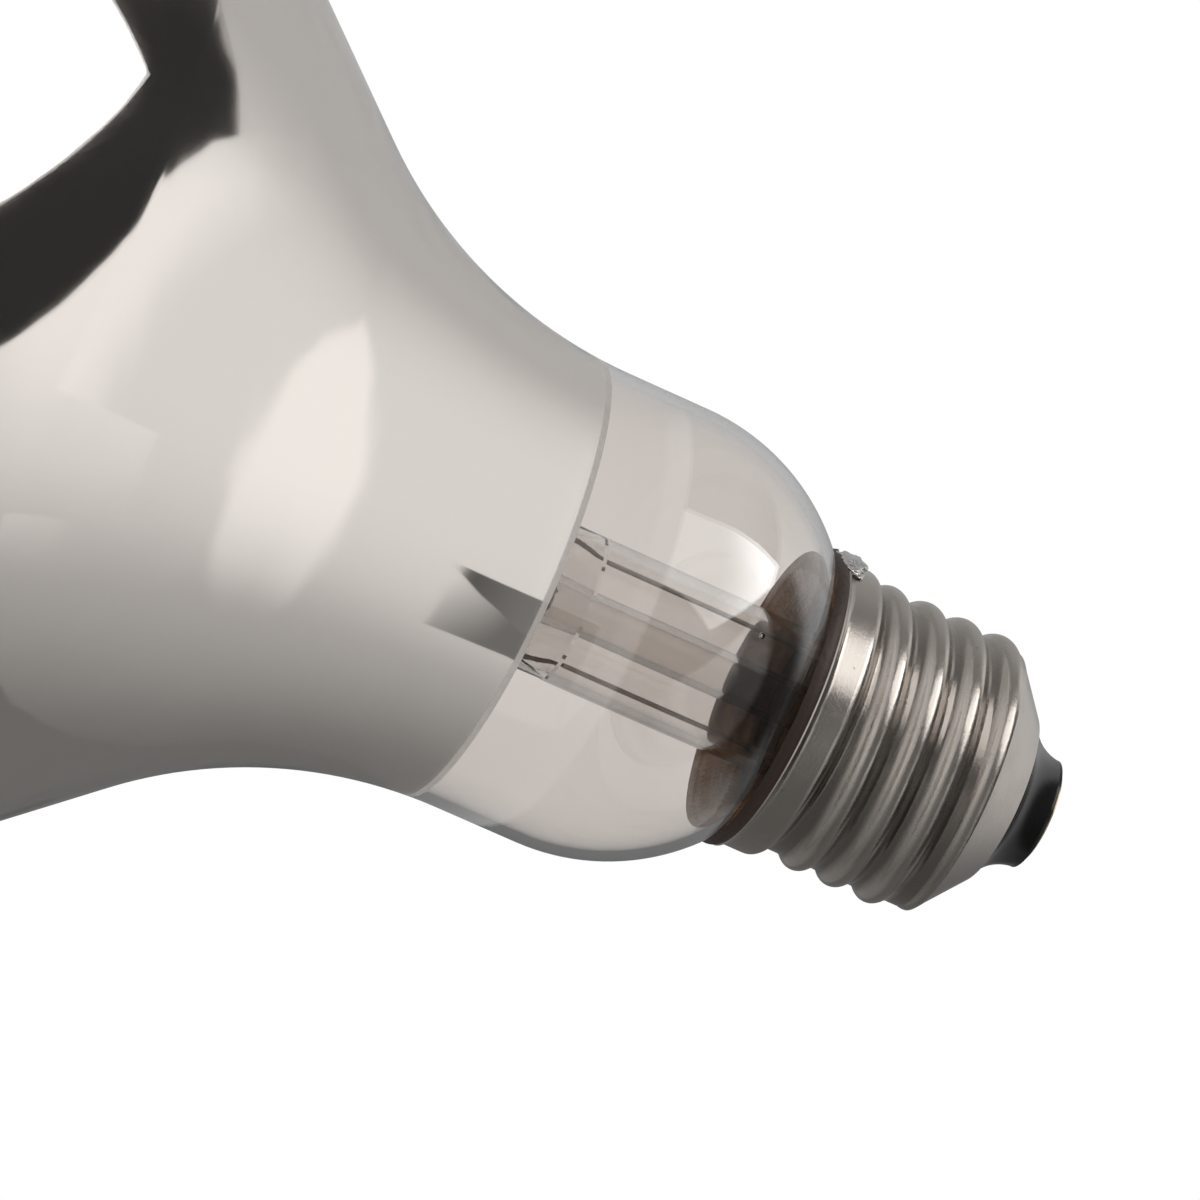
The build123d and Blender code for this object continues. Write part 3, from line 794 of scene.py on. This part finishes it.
def makeSoftBox():
    corner = Vector(softBox["corner"])
    one, two = Vector(softBox["edgeOne"]), Vector(softBox["edgeTwo"])

    def glow(tree):
        place = addNode(tree, "ShaderNodeNewGeometry")
        height = addNode(tree, "ShaderNodeSeparateXYZ", {0: place.outputs["Position"]})
        return addNode(tree, "ShaderNodeMapRange", {
            "Value": height.outputs[2], "From Min": softBox["footHeight"] * mm,
            "From Max": softBox["fullHeight"] * mm, "To Min": softBox["footStrength"],
            "To Max": softBox["strength"]}, interpolation_type="SMOOTHSTEP").outputs[0]

    studioCard("softBox", [corner, corner + one, corner + one + two, corner + two], glow)


skyCard = {
    # a paler card over the base end, cut along a straight edge, in mm
    "height": 200.0,
    "edgeFrom": (-128, 51),
    "edgeTo": (-2, -113),
    "reach": 900.0,
    "brightSpot": (-42, -80),
    "bright": 0.98,
    "near": 15.0,            # bright to here from the spot, and dim from far
    "far": 175.0,
    "leftDim": 0.5,
    "rightDim": 0.17,
    "dimLeft": -90.0,        # x where it is leftDim and rightDim
    "dimRight": 60.0,
    "nearest": 88.0,         # the base is nearer than this, and shows less of its front half
    "nearBlend": 2.0,
    "frontShare": 0.12,
    "backShare": 1.35,
    "frontEnd": -12.0,       # y where the base shows frontShare and backShare
    "backStart": 6.0,
    "rightShare": 0.45,
    "leftEnd": -4.0,         # x where the base shows all and rightShare
    "rightStart": 24.0,
}


def makeSkyCard():
    start, end = Vector(skyCard["edgeFrom"]), Vector(skyCard["edgeTo"])
    run = (end - start).normalized()
    inward = Vector((-run.y, run.x))
    reach = skyCard["reach"]
    flat = [start - run * reach, start + run * reach, start + run * reach + inward * reach,
            start - run * reach + inward * reach]

    def glow(tree):
        place = addNode(tree, "ShaderNodeNewGeometry")
        spot = [v * mm for v in skyCard["brightSpot"]] + [skyCard["height"] * mm]
        away = addNode(tree, "ShaderNodeVectorMath", {
            0: place.outputs["Position"], 1: spot}, operation="DISTANCE")
        sides = addNode(tree, "ShaderNodeSeparateXYZ", {0: place.outputs["Position"]})
        dim = addNode(tree, "ShaderNodeMapRange", {
            "Value": sides.outputs[0], "From Min": skyCard["dimLeft"] * mm,
            "From Max": skyCard["dimRight"] * mm, "To Min": skyCard["leftDim"],
            "To Max": skyCard["rightDim"]}, interpolation_type="SMOOTHSTEP")
        fade = addNode(tree, "ShaderNodeMapRange", {
            "Value": away.outputs["Value"], "From Min": skyCard["near"] * mm,
            "From Max": skyCard["far"] * mm, "To Min": skyCard["bright"],
            "To Max": dim.outputs[0]}, interpolation_type="SMOOTHSTEP")
        near = addNode(tree, "ShaderNodeMapRange", {
            "Value": sides.outputs[1], "From Min": skyCard["frontEnd"] * mm,
            "From Max": skyCard["backStart"] * mm, "To Min": skyCard["frontShare"],
            "To Max": skyCard["backShare"]}, interpolation_type="SMOOTHSTEP")
        shade = addNode(tree, "ShaderNodeMapRange", {
            "Value": sides.outputs[0], "From Min": skyCard["leftEnd"] * mm,
            "From Max": skyCard["rightStart"] * mm, "To Min": 1.0,
            "To Max": skyCard["rightShare"]}, interpolation_type="SMOOTHSTEP")
        base = addNode(tree, "ShaderNodeMath", {
            0: near.outputs[0], 1: shade.outputs[0]}, operation="MULTIPLY")
        path = addNode(tree, "ShaderNodeLightPath")
        share = addNode(tree, "ShaderNodeMapRange", {
            "Value": path.outputs["Ray Length"],
            "From Min": (skyCard["nearest"] - skyCard["nearBlend"]) * mm,
            "From Max": skyCard["nearest"] * mm, "To Min": base.outputs[0], "To Max": 1.0})
        return addNode(tree, "ShaderNodeMath", {
            0: fade.outputs[0], 1: share.outputs[0]}, operation="MULTIPLY").outputs[0]

    studioCard("skyCard", [(p.x, p.y, skyCard["height"]) for p in flat], glow)


collar = {
    # a white board that stands round the neck, near enough to hide the soft box from the flare
    "height": 122.0,
    "inner": 27.0,
    "outer": 57.0,
    "steps": 180,
    "gapFrom": 272.0,        # degrees, a gap on the camera side, past gapOut
    "gapTo": 298.0,
    "gapOut": 43.0,
    "acrossAngle": 30.0,     # degrees, the three ways that its light goes by
    "frontAngle": 243.0,
    "rimAngle": 252.0,
}

collarSteps = {
    # each blends two levels: what it goes by, from, to, level before, level after
    "plain": ("across", -10 * mm, 60 * mm, 0.51, 0.18),
    "front": ("front", 0.3, 1.0, 0.0, 0.3),
    "strip": ("out", 35 * mm, 36.5 * mm, 0.27, 0.0),       # brighter along its inner edge
    "stripEnds": ("front", 0.2, 0.6, 0.0, 1.0),
    "rim": ("out", 46 * mm, 53 * mm, 0.0, 0.22),           # and near its outer edge
    "rimEnds": ("rim", 0.45, 0.85, 0.0, 1.0),
}

collarSums = {
    # one level, how they are put together, the other level
    "level": ("plain", "ADD", "front"),
    "stripPart": ("strip", "MULTIPLY", "stripEnds"),
    "rimPart": ("rim", "MULTIPLY", "rimEnds"),
    "extra": ("stripPart", "ADD", "rimPart"),
    "more": ("extra", "ADD", "whole"),
    "glow": ("level", "MULTIPLY", "more"),
}


def makeCollar():
    steps = collar["steps"]
    radii = (collar["inner"], collar["gapOut"], collar["outer"])
    corners = [onCircle((0, 0), radius, i * 360 / steps) + (collar["height"],)
               for radius in radii for i in range(steps)]
    faces = []
    for ring in (0, 1):
        low, high = ring * steps, (ring + 1) * steps
        for i in range(steps):
            if ring == 1 and collar["gapFrom"] <= i * 360 / steps < collar["gapTo"]:
                continue
            j = (i + 1) % steps
            faces.append((low + i, low + j, high + j, high + i))

    def glow(tree):
        place = addNode(tree, "ShaderNodeNewGeometry")
        flat = awayFromAxis(tree, place)
        out = addNode(tree, "ShaderNodeVectorMath", {0: flat.outputs[0]}, operation="LENGTH")
        outward = addNode(tree, "ShaderNodeVectorMath", {0: flat.outputs[0]}, operation="NORMALIZE")
        goesBy = {"out": out.outputs["Value"]}
        for name, vector in (("across", flat), ("front", outward), ("rim", outward)):
            way = onCircle((0, 0), 1, collar[name + "Angle"]) + (0,)
            part = addNode(tree, "ShaderNodeVectorMath", {
                0: vector.outputs[0], 1: way}, operation="DOT_PRODUCT")
            goesBy[name] = part.outputs["Value"]
        level = {"whole": 1.0}
        for name, (by, start, end, before, after) in collarSteps.items():
            ramp = addNode(tree, "ShaderNodeMapRange", {
                "Value": goesBy[by], "From Min": start, "From Max": end, "To Min": before,
                "To Max": after}, interpolation_type="SMOOTHSTEP")
            level[name] = ramp.outputs[0]
        for name, (one, operation, two) in collarSums.items():
            both = addNode(tree, "ShaderNodeMath", {0: level[one], 1: level[two]}, operation=operation)
            level[name] = both.outputs[0]
        return level["glow"]

    studioCard("collar", corners, glow, faces)


makeWorld()
makeCollar()
makeSoftBox()
makeSkyCard()


# Floor: a pale disc that the lamp stands on, out of the main view

floor = {"radius": 300.0, "tint": "#E9E8E6", "thick": 1.0, "roughness": 0.8, "steps": 96}


def makeFloor():
    # pale matt paper: takes the lamp's soft shadow and shows nothing else
    material, tree = newMaterial("mattPaper")
    shader = addNode(tree, "ShaderNodeBsdfPrincipled", {
        "Base Color": linearColour(floor["tint"]), "Roughness": floor["roughness"]})
    finishMaterial(tree, shader)
    outline = [(0, 0), (floor["radius"], 0), (floor["radius"], -floor["thick"]), (0, -floor["thick"])]
    disc = turnedPiece("floor", outline, floor["steps"], material)


makeFloor()

scene = bpy.context.scene
scene.view_settings.view_transform = "Standard"
print("world, studio cards and floor made")
